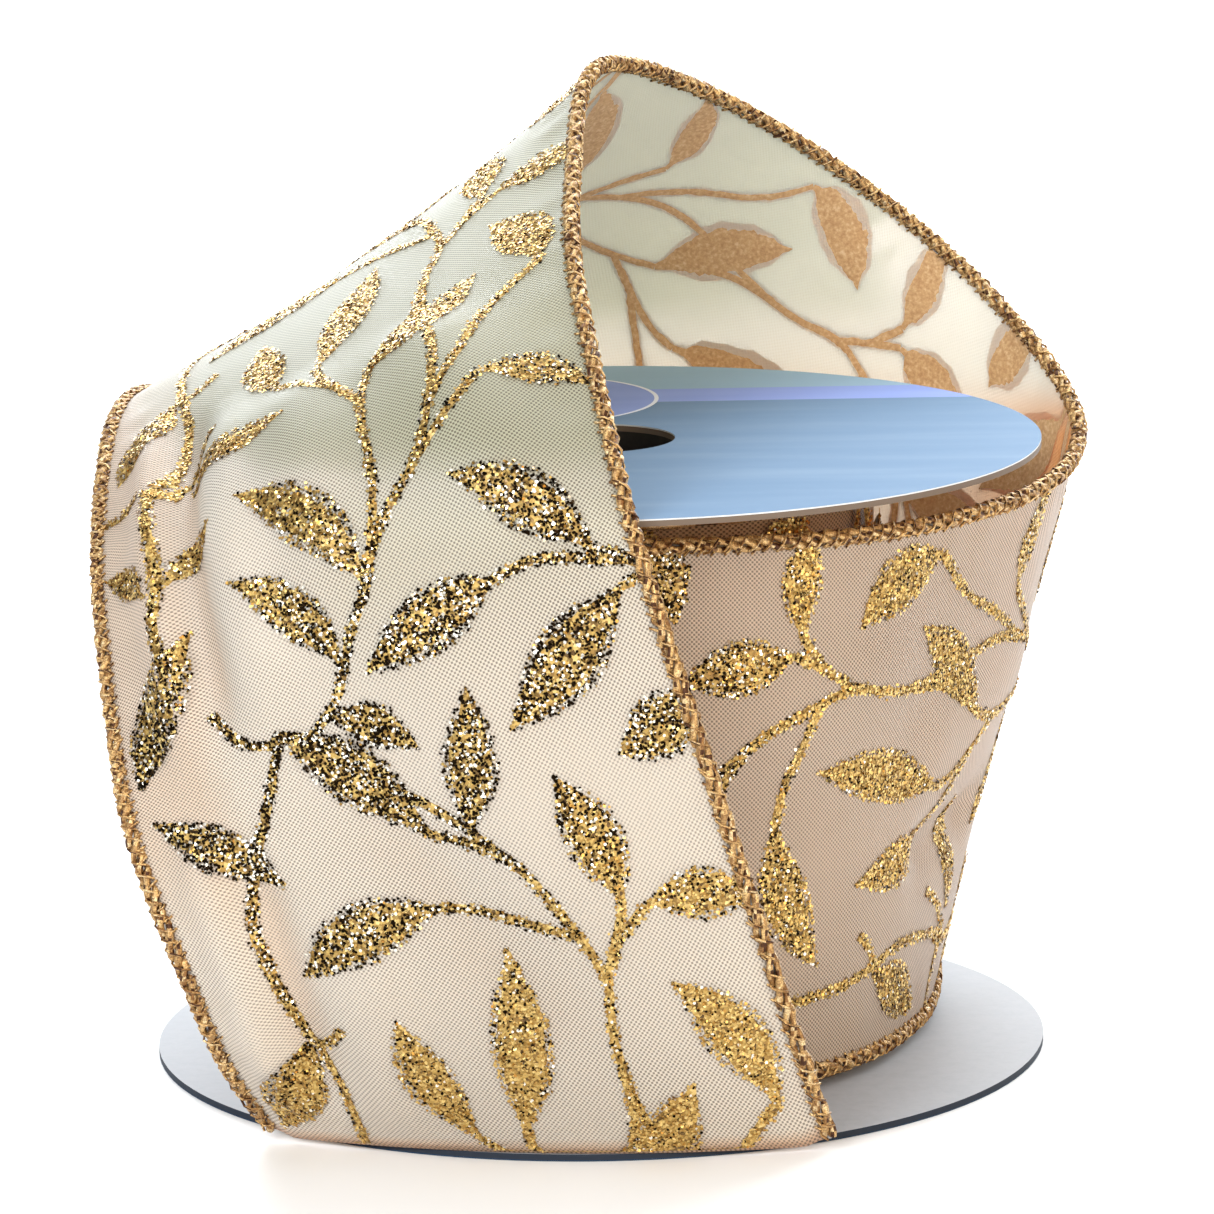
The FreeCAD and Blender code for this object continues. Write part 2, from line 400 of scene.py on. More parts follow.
def noise(tree, coordinates, scale, detail=3.0, rough=0.5):
    inputs = {"Vector": coordinates, "Scale": scale, "Detail": detail, "Roughness": rough}
    return node(tree, "ShaderNodeTexNoise", inputs).outputs["Fac"]


def streaks(tree, coordinates, scale, detail):
    """Noise drawn out along one direction: scale is its fineness along each."""
    stretched = node(tree, "ShaderNodeMapping", {"Vector": coordinates, "Scale": scale}).outputs[0]
    return noise(tree, stretched, 1.0, detail)


def ramp(tree, factor, *stops):
    """A colour ramp: stops are (position, (r, g, b))."""
    made = node(tree, "ShaderNodeValToRGB", {"Fac": factor})
    band = made.color_ramp
    while len(band.elements) < len(stops):
        band.elements.new(0.5)
    for element, (position, colour) in zip(band.elements, stops):
        element.position = position
        element.color = (*colour, 1)
    return made.outputs["Color"]


def mixed(tree, factor, first, second, blend="MIX"):
    """Two colours blended: each input is a socket or a plain value."""
    made = node(tree, "ShaderNodeMix", data_type="RGBA", blend_type=blend)
    for index, value in ((0, factor), (6, first), (7, second)):
        if isinstance(value, bpy.types.NodeSocket):
            tree.links.new(value, made.inputs[index])
        else:
            made.inputs[index].default_value = value if index == 0 else (*value, 1)
    return made.outputs[2]


def maths(tree, operation, first, second=0.0, third=0.0):
    made = node(tree, "ShaderNodeMath", {0: first, 1: second, 2: third}, operation=operation)
    return made.outputs[0]


def bumped(tree, shader, height, strength, distance):
    made = node(tree, "ShaderNodeBump", {"Height": height, "Strength": strength, "Distance": distance})
    feed(tree, made.outputs["Normal"], shader.inputs["Normal"])
    return made.outputs["Normal"]


def weave_of(tree, pitch):
    """Small raised floats in a diagonal order, from -1 to 1, on the flat cloth."""
    flat = node(tree, "ShaderNodeUVMap", uv_map="flat").outputs["UV"]
    scaled = node(tree, "ShaderNodeVectorMath", {0: flat, "Scale": 2 * math.pi / pitch}, operation="SCALE")
    waves = node(tree, "ShaderNodeVectorMath", {0: scaled.outputs[0]}, operation="SINE")
    parts = node(tree, "ShaderNodeSeparateXYZ", {0: waves.outputs[0]})
    return maths(tree, "MULTIPLY", parts.outputs["X"], parts.outputs["Y"]), flat


WEAVE_PITCH = 0.52 * MM       # of the sine waves: a square of this side holds two raised floats


def satin(name, light, dark, seen_through, warm, glow, shine):
    """Thin satin with its weave. glow is the share of light that passes through it.

    seen_through is painted shade: the blue-grey of the shadowed flange seen through the cloth, also laid
    below the flange's rim. warm is painted warm shade and bounce light where it lies against other cloth.
    """
    material, tree, shader = new_material(
        name, Roughness=0.34, Sheen_Weight=0.25, Sheen_Roughness=0.4, Specular_IOR_Level=shine)
    weave, flat = weave_of(tree, WEAVE_PITCH)
    slack = maths(tree, "MULTIPLY_ADD", noise(tree, flat, 30.0, 2.0), 2.6, -0.45)
    share = maths(tree, "MULTIPLY_ADD", maths(tree, "MULTIPLY", weave, slack), -0.5, 0.5)
    between = tuple((a + b) / 2 for a, b in zip(light, dark))
    woven = ramp(tree, share, (0.42, light), (0.58, between), (0.80, dark))
    cloud = maths(tree, "MULTIPLY", noise(tree, flat, 45.0, 2.0), 0.3)
    colour = mixed(tree, cloud, woven, tuple(c * 0.93 for c in light))
    # Painted shade: the flange's blue-grey seen through the cloth, and warm shade where the cloth lies
    # against other cloth.
    for attribute, painted_tint in (("painted_flange_shade", seen_through), ("painted_warm_shade", warm)):
        share_of_painted_tint = node(tree, "ShaderNodeAttribute", attribute_name=attribute).outputs["Fac"]
        colour = mixed(tree, 1.0, colour, mixed(tree, share_of_painted_tint, (1, 1, 1), painted_tint), "MULTIPLY")
    feed(tree, colour, shader.inputs["Base Color"])
    threads = streaks(tree, flat, (900, 8000, 1), 3.0)
    feed(tree, maths(tree, "MULTIPLY_ADD", threads, 0.22, 0.26), shader.inputs["Roughness"])
    normal = bumped(tree, shader, maths(tree, "MULTIPLY_ADD", threads, 0.4, weave), 0.5, 0.04 * MM)
    through = node(tree, "ShaderNodeBsdfTranslucent", {"Color": colour, "Normal": normal})
    both = node(tree, "ShaderNodeMixShader", {0: glow, 1: shader.outputs[0], 2: through.outputs[0]})
    feed(tree, both.outputs[0], tree.nodes["Material Output"].inputs["Surface"])
    return material


# The seen_through and warm colours of both faces are painted shade, laid on where the cloth's attributes
# ask for it.
OUTER = satin(
    "satin_face", light=(0.86, 0.80, 0.71), dark=(0.16, 0.125, 0.09),
    seen_through=(0.67, 0.70, 0.58), warm=(0.84, 0.60, 0.42), glow=0.38, shine=0.42)
REVERSE = satin(
    "satin_reverse", light=(0.97, 0.965, 0.91), dark=(0.93, 0.91, 0.84),
    seen_through=(0.98, 1.0, 0.98), warm=(1.0, 0.52, 0.22), glow=0.67, shine=0.5)


def glitter():
    """Metal flakes, each in its own colour with painted glints and dark reflections among them, and a faint
    cloud over them.
    """
    material, tree, shader = new_material("glitter_flakes", Metallic=1.0, Roughness=0.25)
    colour = node(tree, "ShaderNodeAttribute", attribute_name="flake").outputs["Color"]
    cloud = noise(tree, place_of(tree), 2600.0, 2.0)
    feed(tree, mixed(tree, cloud, colour, (1.0, 0.93, 0.78), "MULTIPLY"), shader.inputs["Base Color"])
    feed(tree, maths(tree, "MULTIPLY_ADD", cloud, 0.3, 0.12), shader.inputs["Roughness"])
    return material


def gold_ink():
    """The gold ground of the print, in fine cells of several golds."""
    material, tree, shader = new_material("gold_ink", Metallic=0.35, Roughness=0.5)
    cells = node(tree, "ShaderNodeTexVoronoi", {"Vector": place_of(tree), "Scale": 2600.0})
    grey = node(tree, "ShaderNodeSeparateColor", {0: cells.outputs["Color"]}).outputs[0]
    gold = ramp(
        tree, grey, (0.0, (0.08, 0.04, 0.01)), (0.35, (0.36, 0.21, 0.05)), (0.8, (0.62, 0.42, 0.12)),
        (1.0, (0.9, 0.7, 0.3)))
    feed(tree, gold, shader.inputs["Base Color"])
    feed(tree, maths(tree, "MULTIPLY_ADD", grey, 0.4, 0.25), shader.inputs["Roughness"])
    bumped(tree, shader, cells.outputs["Distance"], 0.6, 0.12 * MM)
    return material


def strike_through_and_shadow():
    """The print as it shows on the reverse: the tan of the ink through the cloth, with the glitter's shadow
    through the cloth painted into it.
    """
    material, tree, shader = new_material("print_and_shadow_seen_through", Roughness=0.6, Sheen_Weight=0.2)
    place = place_of(tree)
    speck = noise(tree, place, 2200.0, 3.0, 0.6)
    cloud = noise(tree, place, 160.0, 2.0)
    fine = ramp(
        tree, speck, (0.30, (0.40, 0.20, 0.075)), (0.52, (0.56, 0.33, 0.14)), (0.72, (0.74, 0.53, 0.30)))
    toned = mixed(tree, maths(tree, "MULTIPLY", cloud, 0.4), fine, (0.60, 0.37, 0.17))
    feed(tree, toned, shader.inputs["Base Color"])
    bumped(tree, shader, speck, 0.4, 0.05 * MM)
    return material


def thread(name, dark, light, metal):
    """Overlock thread with a fibrous grain. Each face's own colour tones it, with painted glints and
    painted dark specks of shade among them.
    """
    material, tree, shader = new_material(name, Metallic=metal, Roughness=0.34)
    place = place_of(tree)
    colour = node(tree, "ShaderNodeAttribute", attribute_name="flake").outputs["Color"]
    fibre = noise(tree, place, 5200.0, 3.0, 0.7)
    shade = ramp(tree, fibre, (0.34, dark), (0.62, light))
    feed(tree, mixed(tree, 1.0, shade, colour, "MULTIPLY"), shader.inputs["Base Color"])
    feed(tree, maths(tree, "MULTIPLY_ADD", fibre, 0.5, 0.12), shader.inputs["Roughness"])
    bumped(tree, shader, fibre, 0.7, 0.10 * MM)
    return material


GLITTER = glitter()
INK = gold_ink()
STRUCK_AND_SHADOW = strike_through_and_shadow()
OVERLOCK = thread("overlock_thread", (0.24, 0.11, 0.045), (1.0, 0.78, 0.46), 0.55)
WOUND_EDGE = thread("wound_overlock", (0.30, 0.14, 0.06), (0.92, 0.66, 0.38), 0.4)


def cut_edge(tree):
    """1 on the upright cut rim of a flat disc, 0 on its faces."""
    normal = node(tree, "ShaderNodeNewGeometry").outputs["Normal"]
    upright = node(tree, "ShaderNodeSeparateXYZ", {0: normal}).outputs["Z"]
    return maths(tree, "LESS_THAN", maths(tree, "ABSOLUTE", upright), 0.5)


def board(name, face, speck, edge):
    """Coated board: a smooth face with faint fibres, and a darker cut edge."""
    material, tree, shader = new_material(name, Roughness=0.65, Specular_IOR_Level=0.25)
    place = place_of(tree)
    fibre = noise(tree, place, 700.0, 5.0, 0.65)
    cloud = noise(tree, place, 28.0, 2.0)
    paper = ramp(tree, fibre, (0.3, speck), (0.6, face))
    toned = mixed(tree, maths(tree, "MULTIPLY", cloud, 0.35), paper, tuple(c * 0.86 for c in face))
    feed(tree, mixed(tree, cut_edge(tree), toned, edge), shader.inputs["Base Color"])
    feed(tree, maths(tree, "MULTIPLY_ADD", fibre, 0.25, 0.5), shader.inputs["Roughness"])
    bumped(tree, shader, fibre, 0.25, 0.05 * MM)
    return material


BAND_Y = 28.6 * MM            # the middle of the purple band
BAND_HALF = 4.5 * MM
DISC_PLACE = (-10.0 * MM, 27.0 * MM, FLANGE_TOP)
DISC_R = 17.5 * MM
OUTLINE_R = 18.0 * MM


def blue_print():
    """Light blue print with a purple band, a purple disc and its white outline, and painted light: a paler
    blue from the band to the rim.
    """
    material, tree, shader = new_material("blue_print", Roughness=0.7, Specular_IOR_Level=0.12)
    place = place_of(tree)
    parts = node(tree, "ShaderNodeSeparateXYZ", {0: place})
    fibre = noise(tree, place, 520.0, 4.0, 0.6)
    scuff = streaks(tree, place, (20, 160, 1), 4.0)
    sky = ramp(
        tree, scuff, (0.3, (0.135, 0.235, 0.375)), (0.5, (0.15, 0.25, 0.39)), (0.75, (0.185, 0.285, 0.42)))
    # Painted light: paler blue on the strip from the band to the rim, standing in for light that the
    # cloth's shadow keeps off it.
    painted_light_sky = mixed(tree, scuff, (0.30, 0.47, 0.62), (0.34, 0.52, 0.68))
    purple = ramp(tree, scuff, (0.3, (0.26, 0.35, 0.75)), (0.7, (0.31, 0.41, 0.80)))
    to_disc = node(tree, "ShaderNodeVectorMath", {0: place, 1: DISC_PLACE}, operation="DISTANCE")
    outline = maths(tree, "LESS_THAN", to_disc.outputs["Value"], OUTLINE_R)
    disc = maths(tree, "LESS_THAN", to_disc.outputs["Value"], DISC_R)
    off_band = maths(tree, "ABSOLUTE", maths(tree, "SUBTRACT", parts.outputs["Y"], BAND_Y))
    right_of_disc = maths(tree, "GREATER_THAN", parts.outputs["X"], 0.0)
    band = maths(tree, "MULTIPLY", maths(tree, "LESS_THAN", off_band, BAND_HALF), right_of_disc)
    painted_light_zone = maths(tree, "GREATER_THAN", parts.outputs["Y"], BAND_Y + BAND_HALF)
    colour = mixed(tree, painted_light_zone, sky, painted_light_sky)
    colour = mixed(tree, band, colour, purple)
    colour = mixed(tree, outline, colour, (0.85, 0.88, 0.95))
    colour = mixed(tree, disc, colour, purple)
    worn = mixed(tree, maths(tree, "MULTIPLY", fibre, 0.10), colour, (0.6, 0.7, 0.8))
    feed(tree, mixed(tree, cut_edge(tree), worn, (0.72, 0.74, 0.76)), shader.inputs["Base Color"])
    feed(tree, maths(tree, "MULTIPLY_ADD", fibre, 0.3, 0.58), shader.inputs["Roughness"])
    bumped(tree, shader, fibre, 0.2, 0.04 * MM)
    return material


def tube_card_painted_shade():
    """Brown card darkened near black as painted shade down the hole, with a fibrous grain and soft bands up
    the tube.
    """
    material, tree, shader = new_material("tube_card_painted_shade", Roughness=0.8)
    place = place_of(tree)
    fibre = noise(tree, place, 900.0, 5.0, 0.7)
    waves = {"Vector": place, "Scale": 14.0, "Distortion": 1.5}
    wound = node(tree, "ShaderNodeTexWave", waves, bands_direction="Z").outputs["Fac"]
    brown = ramp(tree, fibre, (0.3, (0.006, 0.005, 0.004)), (0.7, (0.018, 0.014, 0.011)))
    banded = mixed(tree, maths(tree, "MULTIPLY", wound, 0.3), brown, (0.04, 0.028, 0.02))
    feed(tree, banded, shader.inputs["Base Color"])
    bumped(tree, shader, fibre, 0.4, 0.1 * MM)
    return material


def moulded(name, light, dark, rough, through):
    """Hot-melt glue or tape: uneven, partly clear."""
    material, tree, shader = new_material(name, Roughness=rough, Transmission_Weight=through, IOR=1.45)
    place = place_of(tree)
    cloud = noise(tree, place, 420.0, 3.0)
    feed(tree, ramp(tree, cloud, (0.3, dark), (0.7, light)), shader.inputs["Base Color"])
    bumped(tree, shader, cloud, 0.3, 0.2 * MM)
    return material


def wire_steel():
    """Drawn iron wire in uneven greys."""
    material, tree, shader = new_material("iron_wire", Metallic=0.9, Roughness=0.4)
    place = place_of(tree)
    drawn = noise(tree, place, 3000.0, 3.0)
    grey = ramp(tree, drawn, (0.3, (0.20, 0.19, 0.18)), (0.7, (0.55, 0.54, 0.52)))
    feed(tree, grey, shader.inputs["Base Color"])
    feed(tree, maths(tree, "MULTIPLY_ADD", drawn, 0.3, 0.25), shader.inputs["Roughness"])
    return material


# ------------------------ the CAD pieces that stay
def dress(name, material):
    """Put a material on a CAD piece that stays in view."""
    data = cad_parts[name].data
    data.materials.clear()
    data.materials.append(material)


# Painted shade: the bottom flange's white board gets a grey-blue face, and its cut edge is darkened near
# black for the shadow under the ribbon. The navy paper is its real print, darkened further as painted
# shade.
WHITE_BOARD_PAINTED_SHADE = board(
    "grey_board", face=(0.41, 0.425, 0.455), speck=(0.35, 0.365, 0.395), edge=(0.018, 0.026, 0.042))
# Painted shade and reflection: the top flange's board gets a brown face and a dark brown edge, standing in
# for the warm shade under the top flange.
TOP_BOARD_PAINTED_SHADE = board("top_board_painted_shade", face=(0.50, 0.36, 0.25), speck=(0.42, 0.29, 0.19), edge=(0.16, 0.12, 0.09))
NAVY_PAPER = board(
    "navy_paper", face=(0.025, 0.07, 0.15), speck=(0.02, 0.05, 0.12), edge=(0.012, 0.035, 0.075))
GLUE = moulded("hot_melt", (0.86, 0.80, 0.62), (0.74, 0.66, 0.46), rough=0.3, through=0.3)
TAPE = moulded("clear_tape", (0.80, 0.78, 0.70), (0.68, 0.66, 0.58), rough=0.15, through=0.5)
WIRE = wire_steel()
dress("bottom_flange_board", WHITE_BOARD_PAINTED_SHADE)
dress("top_flange_board", TOP_BOARD_PAINTED_SHADE)
dress("bottom_flange_print", NAVY_PAPER)
dress("top_flange_print", blue_print())
dress("core_tube", tube_card_painted_shade())
dress("bottom_glue_bead", GLUE)
dress("top_glue_bead", GLUE)
dress("ribbon_start_tape", TAPE)
dress("loose_lower_wire", WIRE)
dress("loose_upper_wire", WIRE)

# ------------------------ the printed vine
# One repeat of a plain leafy vine, in mm on the flat ribbon: leaves as
# (base x, base y, tip x, tip y, width, bend to the left of base-to-tip).
LEAVES = (
    (14.5, 9.5, 2.0, 2.5, 6.5, -0.3),
    (2.0, 24.5, 18.5, 20.8, 5.6, -0.8),
    (3.0, 29.8, 25.0, 34.8, 6.4, 0.6),
    (38.5, 31.0, 53.5, 18.5, 6.8, 0.9),
    (53.5, 24.5, 47.8, 33.3, 4.8, -0.8),
    (38.0, 35.5, 52.7, 40.0, 5.8, 0.3),
    (30.3, 29.5, 24.3, 12.3, 6.6, 1.8),
    (35.7, 14.2, 46.0, 2.6, 5.6, 0.5),
    (51.0, 2.2, 69.0, 10.8, 6.2, -0.4),
    (75.5, 9.5, 80.5, 16.5, 3.8, -0.7),
    (74.5, 7.5, 82.0, 1.2, 3.8, 0.7),
    (89.8, 12.5, 91.5, 26.5, 4.8, -0.4),
    (65.6, 32.8, 81.5, 20.0, 6.2, 2.0),
    (58.3, 27.9, 71.5, 17.8, 5.2, 1.4),
    (93.5, 37.0, 106.5, 49.5, 6.8, 0.9),
    (85.0, 49.5, 81.0, 61.0, 4.6, -1.4),
    (61.8, 57.0, 73.8, 44.2, 6.2, 1.3),
    (62.0, 46.5, 56.8, 30.2, 6.6, 0.5),
    (57.5, 58.5, 47.2, 43.0, 7.2, -0.2),
    (46.5, 63.0, 42.2, 52.9, 6.4, -0.6),
    (28.0, 48.5, 41.8, 45.8, 6.2, 0.5),
    (27.0, 50.6, 25.5, 63.0, 5.2, -0.8),
    (5.2, 57.6, 18.8, 50.6, 7.0, 1.5),
)
# Its stems, each through a few points.
STEMS = (
    ((-4.9, 37.0), (3, 41.5), (9.5, 42.5), (15, 43), (20, 44), (24.5, 43), (28.5, 41.5), (33.5, 39),
     (36.5, 35.5), (38.5, 31)),
    ((20, 44), (24, 46.5), (28, 48.5)),
    ((24, 46.5), (27, 50.6)),
    ((25, 43), (27, 38.5), (29.5, 33), (30.3, 29.5)),
    ((45, 27.5), (42.5, 31), (38, 35.5), (33.5, 39)),
    ((51, 21), (54.5, 25.5), (57.5, 27.7), (60.3, 29), (64.5, 32), (70.5, 34.6), (77.5, 36), (88.2, 35.7),
     (93.5, 37)),
    ((64.5, 32), (72, 36.5), (76.7, 40.8), (82.8, 43.5), (90, 44.8), (99, 43.5), (107.9, 42.5)),
    ((76.7, 40.8), (81, 45.5), (85, 49.5)),
    ((82.8, 43.5), (91, 48.5), (98, 52), (103.6, 57.6)),
    ((88.2, 35.7), (93, 32.5), (98.5, 30), (101.4, 29.8)),
    ((93, 32.5), (97, 28), (100.4, 24.5)),
    ((53.5, 19), (46.5, 16), (42.5, 14), (38, 11.5), (34, 9.6), (28.5, 8.8), (23, 9), (17.5, 9.7),
     (13.8, 10.5), (9.7, 11.5), (1, 11.2), (-5.9, 10)),
    ((52, 19), (52.7, 15.5), (58, 11.5)),
    ((66, 8.2), (70, 8), (75.5, 8.8), (82, 8.6), (90, 8.5), (94, 9.7)),
    ((90, 8.8), (94, 13.5), (99, 16.5)),
    ((90, 11), (91, 8.5), (92.3, 3.5), (93, 0.5)),
    ((61.8, 57), (60, 61.3)),
    ((62, 46.5), (62.5, 51), (61, 56.5), (59.5, 61.3)),
    ((57.5, 58.5), (58, 61.3)),
    ((14.0, 10.0), (15.5, 13.0), (17.5, 14.6)),
)
LEAF_STEPS = 15
STALK_HALF = 0.42             # a leaf is at least this wide either side of its spine, at its base
TIP_HALF = 0.06               # and this at its tip
STEM_WIDTH = 1.25
STEM_STEP = 1.2


def leaf_grid(base_x, base_y, tip_x, tip_y, width, bend):
    """A leaf's spine and its half width at each step, in mm."""
    t = np.linspace(0, 1, LEAF_STEPS)
    base, tip = np.array([base_x, base_y]), np.array([tip_x, tip_y])
    along = (tip - base) / np.linalg.norm(tip - base)
    left = np.array([-along[1], along[0]])
    control = (base + tip) / 2 + 2 * bend * left
    spine = ((1 - t) ** 2)[:, None] * base + (2 * t * (1 - t))[:, None] * control + (t ** 2)[:, None] * tip
    half = width / 2 * np.sin(math.pi * t ** 1.02) * (1.12 - 0.2 * t)
    return spine, np.maximum(half, STALK_HALF * (1 - t) + TIP_HALF)


def stem_grid(points):
    """A stem's spine and its half width at each step, in mm."""
    points = np.array(points, float)
    knots = travelled(points)
    steps = max(3, int(knots[-1] / STEM_STEP) + 1)
    spine = spline(knots, points, np.linspace(0, knots[-1], steps))
    return spine, np.full(steps, STEM_WIDTH / 2)


MOTIFS = [leaf_grid(*leaf) for leaf in LEAVES] + [stem_grid(points) for points in STEMS]


def motifs_on(start, end):
    """Every motif of the repeating vine between start and end, in mm along the ribbon."""
    first = math.floor(start / REPEAT) - 1
    last = math.ceil(end / REPEAT)
    for repeat in range(first, last + 1):
        for spine, half in MOTIFS:
            moved = spine + (repeat * REPEAT, 0)
            if moved[:, 0].max() > start + 1 and moved[:, 0].min() < end - 1:
                yield moved, half


def sideways(spine):
    """The direction square to the spine at each of its points."""
    along = unit(np.gradient(spine, axis=0))
    return np.stack([-along[:, 1], along[:, 0]], axis=-1)


CUT_MARGIN = 0.3              # mm of cloth without print at its ends
WIRE_MARGIN = 0.9             # and beside its wires


def kept_on(flat, start, end, width):
    """Flat places moved onto the cloth between start and end, off its wired edges."""
    flat[..., 0] = np.clip(flat[..., 0], start + CUT_MARGIN, end - CUT_MARGIN)
    flat[..., 1] = np.clip(flat[..., 1], WIRE_MARGIN, width - WIRE_MARGIN)
    return flat


INK_LIFT = CLOTH_THICK / 2 + 0.06 * MM       # off the cloth's middle
STRUCK_LIFT = -CLOTH_THICK / 2 - 0.03 * MM   # the same on the reverse


def patches(name, sheet, start, end, height, body, material, ragged, slim, spread=0.0):
    """The printed shapes as thin raised patches, slim times as wide as they are drawn.

    Leaves reach spread mm further on each side. ragged is how far, in mm, an outline strays.
    """
    parts = []
    shares = np.array([-1, -0.5, 0, 0.5, 1])
    for spine, half in motifs_on(start, end):
        side = sideways(spine)
        soaked = spread * smooth_step((half - 0.7) / 0.8)
        reach = (half * slim + soaked)[:, None] * shares[None, :]
        reach[:, [0, -1]] += rng.normal(0, ragged, (len(spine), 2)) * np.minimum(half, 1.0)[:, None]
        flat = kept_on(spine[:, None] + side[:, None] * reach[..., None], start, end, sheet.width)
        lift = height * np.where(np.abs(shares) == 1, 0.5, 1.0)[None, :]
        points, _ = sheet.at(flat[..., 0] - start, flat[..., 1], np.broadcast_to(lift, flat.shape[:2]))
        parts.append((points.reshape(-1, 3), grid_faces(len(spine), len(shares), 0, height > 0).tolist()))
    points, faces = joined(parts)
    return new_piece(name, points, faces, body, [material])


LOOSE_FLAKES = 13.0           # per square millimetre
WOUND_FLAKES = 8.0
FLAKE_R = 0.18 * MM
FLAKE_TILT = 0.24             # how unevenly they lie, as a share of their upright normal
STRAY = 0.11                  # how far, in mm, the flakes stray past a motif's outline
FLAKE_MARGIN = 0.4            # mm of cloth without flakes along its edges


def scatter(spine, half, density):
    """Random places over a motif, with a few flakes strayed past its outline."""
    side = sideways(spine)
    step = np.linalg.norm(np.diff(spine, axis=0), axis=1)
    area = step * (half[1:] + half[:-1])
    count = rng.poisson(area * density)
    which = np.repeat(np.arange(len(step)), count)
    share = rng.random(len(which))[:, None]
    place = spine[which] * (1 - share) + spine[which + 1] * share
    reach = half[which] * (1 - share[:, 0]) + half[which + 1] * share[:, 0]
    across = rng.uniform(-1, 1, len(which)) * reach + rng.normal(0, STRAY, len(which))
    return place + side[which] * across[:, None]


CALM = 0.05                   # share of painted glints and painted dark reflections on the flakes, outside the bands that raise it


def flake_colours(count, contrast):
    """Gold flakes, some with painted dark reflections and some with painted white glints. contrast raises
    the share of both, and darkens the gold as painted shade.
    """
    draw = rng.random(count)
    tone = rng.random(count)[:, None]
    gold = (1 - tone) * np.array([0.38, 0.20, 0.045]) + tone * np.array([0.92, 0.69, 0.28])
    # Painted shade: the gold is darker where the painted band is strong.
    gold *= 1 - 0.4 * contrast[:, None]
    dark = np.array([0.010, 0.006, 0.003])
    white = np.array([1.0, 0.98, 0.93])
    painted_dark_share = 0.04 + 0.62 * contrast
    painted_glint_share = 0.01 + 0.20 * contrast
    colours = np.where((draw < painted_dark_share)[:, None], dark, gold)
    return np.where((draw > 1 - painted_glint_share)[:, None], white, colours)


def scattered(start, end, width, density):
    """The flat places of all flakes between start and end, in mm."""
    flat = np.concatenate([scatter(spine, half, density) for spine, half in motifs_on(start, end)])
    low = (start + FLAKE_MARGIN, FLAKE_MARGIN)
    high = (end - FLAKE_MARGIN, width - FLAKE_MARGIN)
    return flat[np.all((flat > low) & (flat < high), axis=1)]


def flakes(name, sheet, flat, start, body, contrast_of):
    """Hexagonal glitter flakes lying at small angles on the print. start is the sheet's own first x."""
    count = len(flat)
    height = CLOTH_THICK / 2 + rng.uniform(0.08, 0.22, count) * MM
    centre, normal = sheet.at(flat[:, 0] - start, flat[:, 1], height)
    tilted = unit(normal + rng.normal(0, FLAKE_TILT, (count, 3)))
    first = unit(np.cross(tilted, rng.normal(0, 1, (count, 3))))
    second = np.cross(tilted, first)
    size = FLAKE_R * rng.uniform(0.75, 1.15, count)[:, None]
    corners = []
    for corner in range(6):
        angle = corner * math.pi / 3
        corners.append(centre + size * (math.cos(angle) * first + math.sin(angle) * second))
    points = np.stack(corners, axis=1).reshape(-1, 3)
    faces = np.arange(count * 6).reshape(-1, 6)
    piece = new_piece(name, points, faces, body, [GLITTER], smooth=False)
    give_colour(piece, "flake", flake_colours(count, contrast_of(flat)))
    return piece


# ------------------------ the overlocked edges
EDGE_STEP = 0.45              # mm from one point of a thread to the next
EDGE_MARGIN = 0.3             # mm of ribbon past a thread's ends
STRAND_PITCH = 7.2 * MM
STRAND_R = 0.42 * MM
HELIX_R = 0.52 * MM
TINSEL_PITCH = -3.3 * MM      # the metallic thread turns the other way over the strands
TINSEL_R = 0.15 * MM
TINSEL_TURN_R = 0.92 * MM
STITCH_GAP = 1.55             # mm from one stitch to the next
STITCH_REACH = 0.95           # mm of cloth that a stitch crosses
STITCH_SLANT = 0.7            # mm along the edge over that reach
STITCH_R = 0.15 * MM


def twisted(centre, normal, third, turn, reach):
    """A path that goes round the centre line at a distance of reach, at the angles of turn."""
    return centre + reach[:, None] * (np.cos(turn)[:, None] * normal + np.sin(turn)[:, None] * third)


def edge_piece(name, sheet, y, body, side_out):
    """Three thread bundles twisted over the wire, tinsel round them, and stitches into the cloth."""
    x = np.arange(EDGE_MARGIN, sheet.length - EDGE_MARGIN, EDGE_STEP)
    centre, normal = sheet.at(x, np.full(len(x), y), np.zeros(len(x)))
    tangent = unit(np.gradient(centre, axis=0))
    third = np.cross(tangent, normal)
    parts = []
    for strand in range(3):
        turn = 2 * math.pi * (x * MM / STRAND_PITCH + strand / 3) + 0.25 * np.sin(x * 0.9)
        path = twisted(centre, normal, third, turn, HELIX_R * (1 + 0.12 * np.sin(x * 1.7 + strand)))
        radius = STRAND_R * (1 + 0.16 * np.sin(x * 3.1 + 2 * strand) + rng.normal(0, 0.06, len(x)))
        parts.append(tube(path, normal, radius, 7))
    for first_turn in (0.0, 0.5):
        turn = 2 * math.pi * (x * MM / TINSEL_PITCH + first_turn) + 0.3 * np.sin(x * 1.3)
        reach = TINSEL_TURN_R * (1 + 0.05 * np.sin(x * 2.3 + 4 * first_turn))
        parts.append(tube(twisted(centre, normal, third, turn, reach), normal, TINSEL_R, 5))
    share = np.linspace(0, 1, 6)
    for face in (1, -1):
        for start in np.arange(1.0, sheet.length - 2.0, STITCH_GAP):
            reach = STITCH_REACH + rng.normal(0, 0.1)
            stitch_x = start + STITCH_SLANT * face * share + rng.normal(0, 0.08)
            stitch_y = y - side_out * (0.2 + reach * share)
            lift = face * (CLOTH_THICK / 2 + (0.55 - 0.48 * share) * MM)
            path, up = sheet.at(stitch_x, stitch_y, lift)
            parts.append(tube(path, up, STITCH_R, 5))
    points, faces = joined(parts)
    piece = new_piece(name, points, faces, body, [OVERLOCK])
    give_colour(piece, "flake", tinsel_colours(len(piece.data.polygons)))
    return piece


